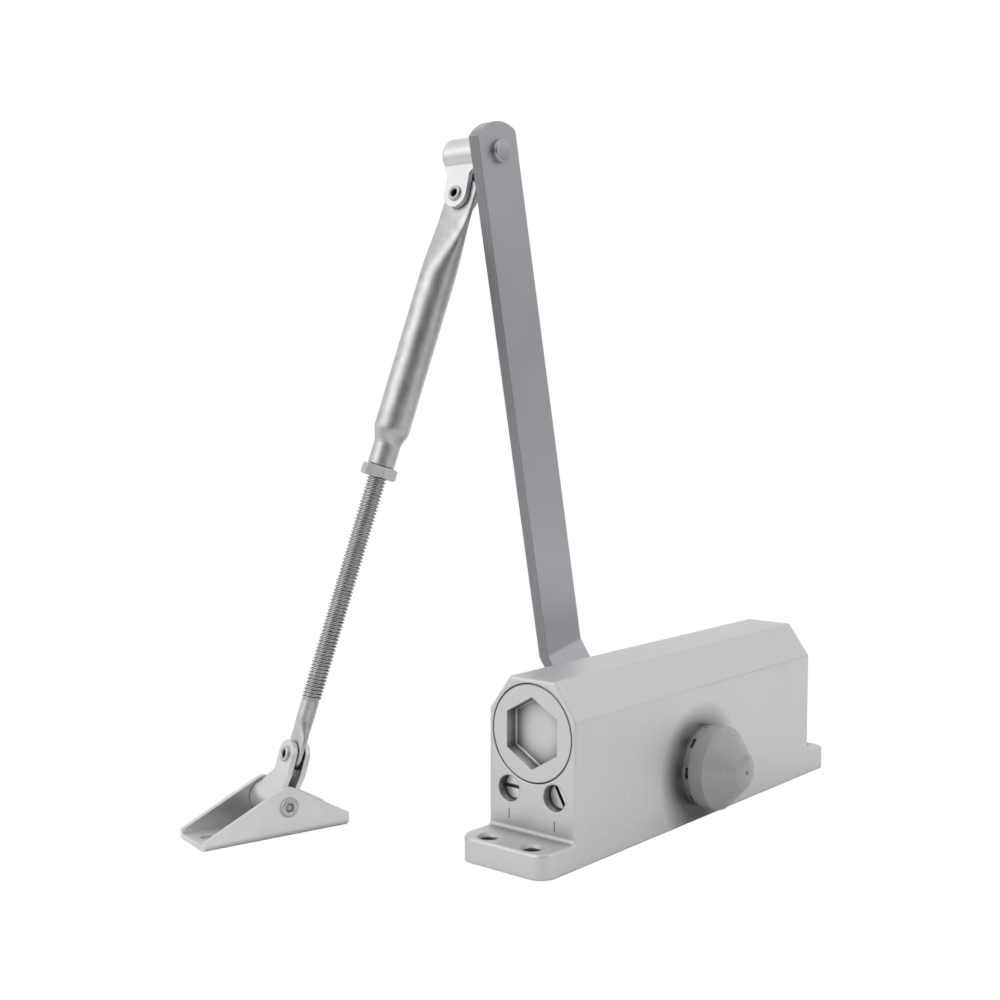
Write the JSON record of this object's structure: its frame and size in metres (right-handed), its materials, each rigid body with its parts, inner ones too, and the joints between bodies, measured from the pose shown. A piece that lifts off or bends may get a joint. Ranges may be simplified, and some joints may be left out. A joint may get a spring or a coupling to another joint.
{
  "type": "hydraulic door closer",
  "caption": "Surface-mounted hydraulic door closer: chamfered block body with end flanges, capped rack-and-pinion spindle, cranked flat main arm, length-adjustable forearm and frame shoe.",
  "frame": {"origin": "centre of the four body screw holes on the mounting face, straight under the spindle", "axes": "+X along the body towards the spring end, +Y along the spindle towards the arm, +Z off the door face"},
  "size_m": [0.2481, 0.1494, 0.2602],
  "materials": {
    "housing": "satin silver lacquer on die-cast aluminium",
    "plug": "machined, silver lacquered",
    "seal": "oil-proof rubber",
    "piston": "machined iron",
    "hard_steel": "ground and hardened",
    "spring": "oil-tempered spring wire",
    "bearing": "sintered bronze bush",
    "nut": "machined",
    "cap": "moulded, light grey",
    "valve": "turned",
    "arm": "smooth silver lacquer on steel bar",
    "zinc": "bright zinc plate"
  },
  "bodies": {
    "housing": {"housing": "housing", "valve_end_plug": "plug", "spring_end_plug": "plug", "valve_plug_seal": "seal", "spring_plug_seal": "seal", "closing_spring": "spring", "front_bearing": "bearing", "rear_bearing": "bearing", "front_bearing_nut": "nut", "rear_bearing_nut": "nut", "front_spindle_seal": "seal", "rear_spindle_seal": "seal", "spindle_cap": "cap"},
    "spindle": {"pinion_spindle": "hard_steel", "main_arm": "arm", "arm_screw": "zinc", "arm_washer": "zinc", "elbow_stud": "arm", "elbow_washer": "zinc"},
    "piston": {"rack_piston": "piston", "check_valve_screw": "valve"},
    "check_ball": {"check_ball": "hard_steel"},
    "sweep_valve": {"sweep_valve": "valve", "sweep_valve_seal": "seal"},
    "latch_valve": {"latch_valve": "valve", "latch_valve_seal": "seal"},
    "upper_knuckle": {"upper_knuckle": "zinc", "upper_rivet": "zinc"},
    "forearm_tube": {"forearm_tube": "zinc"},
    "jam_nut": {"jam_nut": "zinc"},
    "threaded_rod": {"threaded_rod": "zinc"},
    "lower_knuckle": {"lower_knuckle": "zinc", "lower_rivet": "zinc"},
    "shoe": {"shoe_bracket": "zinc", "shoe_pin": "zinc"}
  },
  "joints": [
    {"name": "spindle_turn", "type": "hinge", "parent": "housing", "child": "spindle", "pos_m": [0, 0, 0.02], "axis": [0, 1, 0], "range_deg": [0, 180], "stiffness_Nm_per_rad": 3, "springref_deg": -57.3},
    {"name": "piston_slide", "type": "slide", "parent": "housing", "child": "piston", "axis": [1, 0, 0], "range_m": [0, 0.0377], "deforming": ["closing_spring"]},
    {"name": "check_ball_lift", "type": "slide", "parent": "piston", "child": "check_ball", "axis": [-1, 0, 0], "range_m": [0, 0.0008]},
    {"name": "sweep_valve_turn", "type": "hinge", "parent": "housing", "child": "sweep_valve", "pos_m": [-0.0776, 0.01, 0.0231], "axis": [-1, 0, 0], "range_deg": [-180, 180]},
    {"name": "latch_valve_turn", "type": "hinge", "parent": "housing", "child": "latch_valve", "pos_m": [-0.0776, -0.01, 0.0231], "axis": [-1, 0, 0], "range_deg": [-180, 180]},
    {"name": "elbow_fold", "type": "hinge", "parent": "spindle", "child": "upper_knuckle", "pos_m": [-0.04874, 0.05665, 0.24928], "axis": [0, 1, 0], "range_deg": [-25, 120]},
    {"name": "forearm_tilt", "type": "hinge", "parent": "upper_knuckle", "child": "forearm_tube", "pos_m": [-0.05294, 0.05665, 0.23353], "axis": [0.9662, 0, -0.2578], "range_deg": [-7, 15]},
    {"name": "jam_nut_turn", "type": "hinge", "parent": "forearm_tube", "child": "jam_nut", "pos_m": [-0.08017, 0.07365, 0.13146], "axis": [0.2545, -0.1588, 0.9539], "range_deg": [0, 360]},
    {"name": "length_adjust", "type": "slide", "parent": "forearm_tube", "child": "threaded_rod", "axis": [0.2545, -0.1588, 0.9539], "range_m": [-0.012, 0.045]},
    {"name": "shoe_tilt", "type": "hinge", "parent": "threaded_rod", "child": "lower_knuckle", "pos_m": [-0.10812, 0.09109, 0.02673], "axis": [0.9264, -0.243, -0.2877], "range_deg": [-20, 20]},
    {"name": "shoe_swing", "type": "hinge", "parent": "lower_knuckle", "child": "shoe", "pos_m": [-0.11564, 0.09306, 0.0109], "axis": [0.2538, 0.9673, 0], "range_deg": [-60, 60]}
  ],
  "couplings": [
    {"joint": "piston_slide", "follows": "spindle_turn", "m_per_rad": 0.012}
  ]
}
